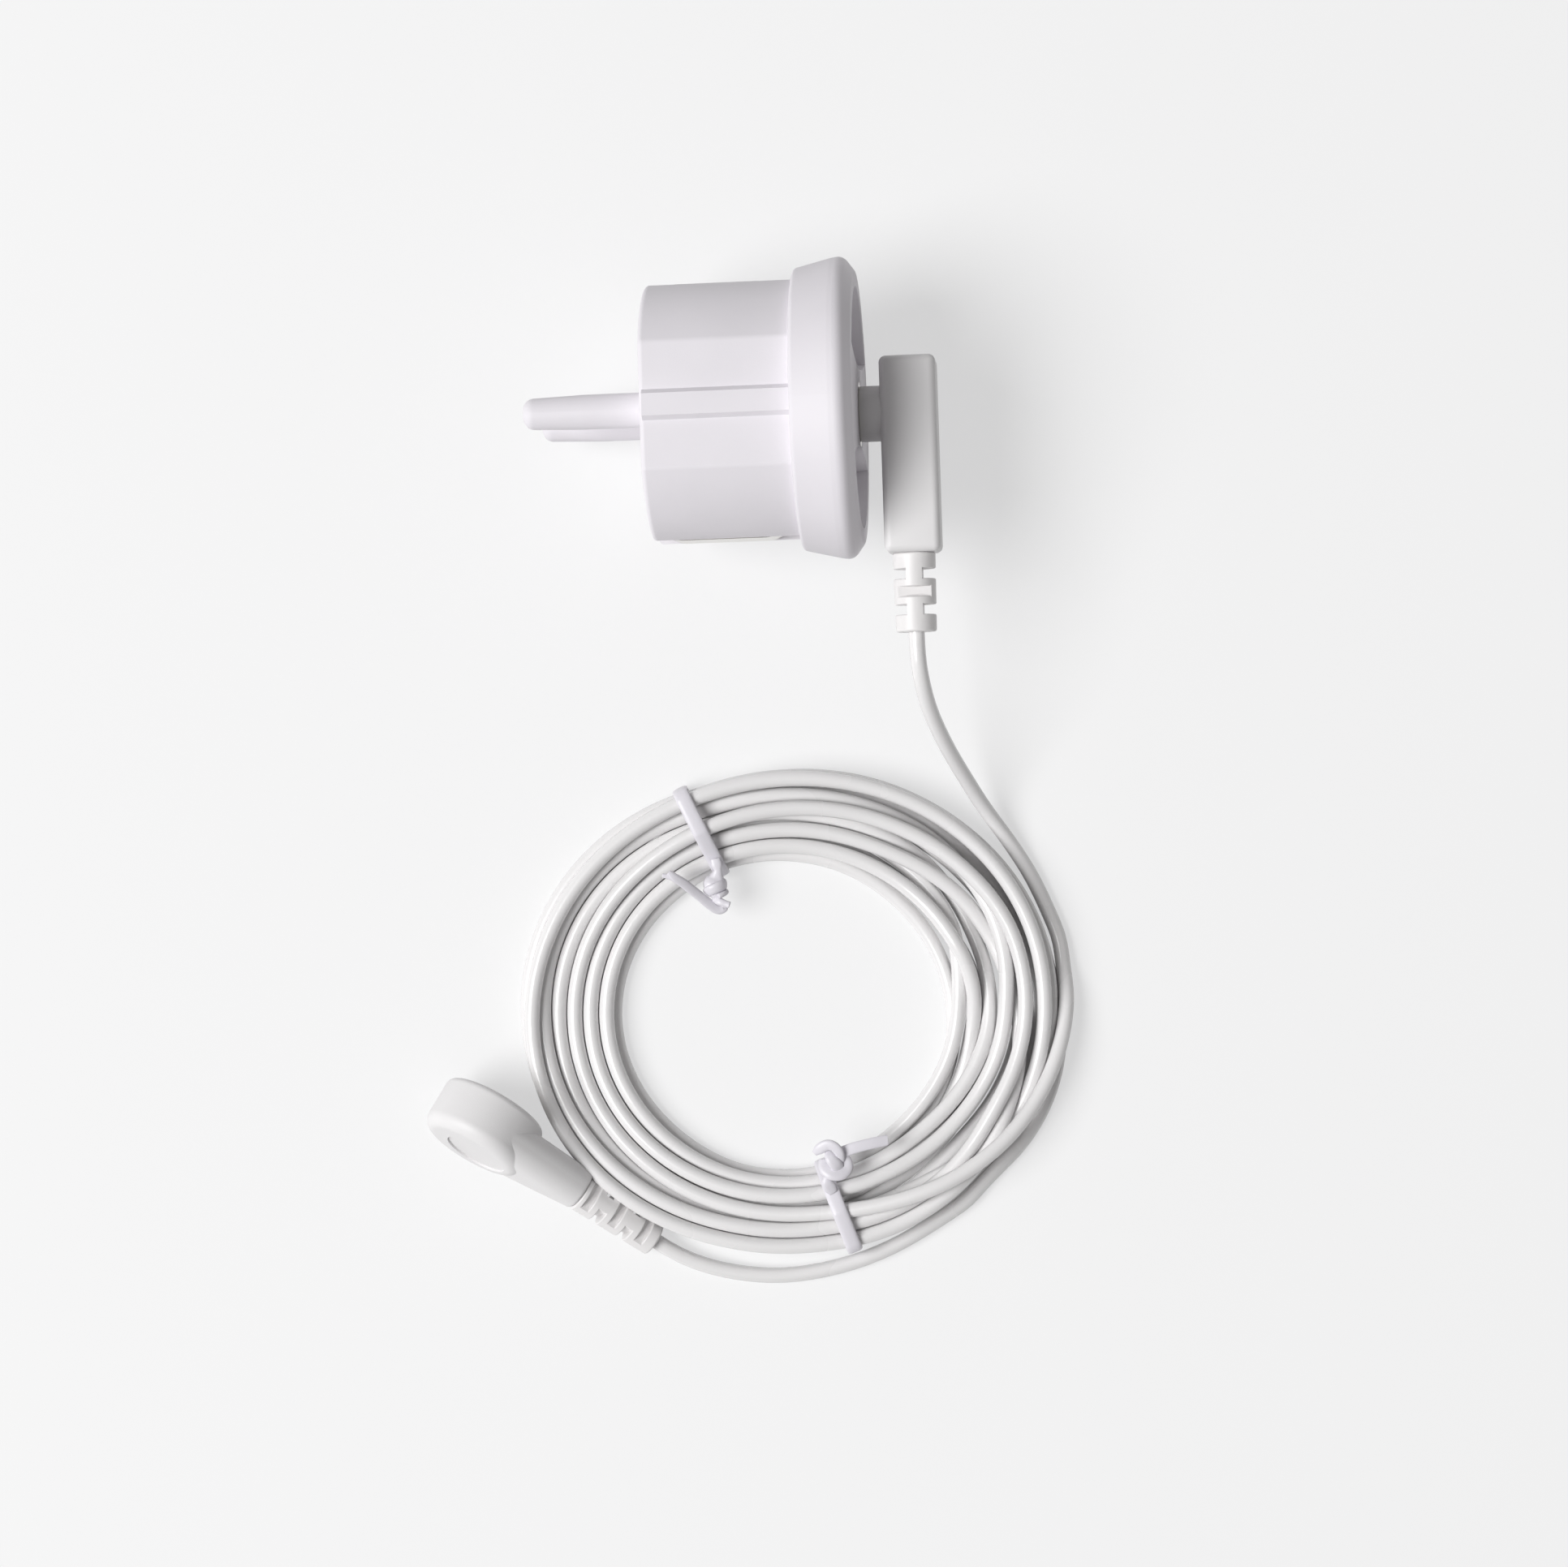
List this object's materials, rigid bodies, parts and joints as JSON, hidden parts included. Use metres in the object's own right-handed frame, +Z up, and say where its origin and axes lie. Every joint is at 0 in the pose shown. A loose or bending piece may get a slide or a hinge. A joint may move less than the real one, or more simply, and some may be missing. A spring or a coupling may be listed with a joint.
{
  "type": "grounding plug adapter",
  "caption": "White grounding plug adapter with moulded dummy pins, side earth strap, right-angle lead plug, a coiled cord held by twist ties, and a snap connector",
  "frame": {"origin": "on the table below the middle of the plug with its lead plug, the cord not counted", "axes": "+X from the pins to the lead plug, +Z up from the table, the lead leaves towards -Y"},
  "size_m": [0.0945, 0.1483, 0.0427],
  "materials": {
    "shell": "fine matt texture, faintly lavender white",
    "connector": "fine matt texture, warm white",
    "relief": "soft satin plastic",
    "cord": "glossy soft plastic sheath",
    "tie": "satin film over a wire",
    "nickel": "nickel plate",
    "brass": "turned",
    "resistor": "lacquered"
  },
  "bodies": {
    "root": {"front_housing": "shell", "rear_cover": "shell", "earth_strap": "nickel", "jack_socket": "brass", "jack_washer": "nickel", "jack_nut": "brass", "centre_screw": "nickel", "plug_barrel": "connector", "lead_pin": "nickel", "pin_spring": "brass", "series_resistor": "resistor", "wire_crimp": "nickel", "plug_relief": "relief", "cord_lead": "cord", "cord_coil": "cord", "cord_tail": "cord", "upper_tie": "tie", "lower_tie": "tie", "snap_housing": "connector", "snap_socket": "nickel", "snap_spring": "nickel", "snap_terminal": "brass", "snap_relief": "relief"}
  },
  "joints": []
}
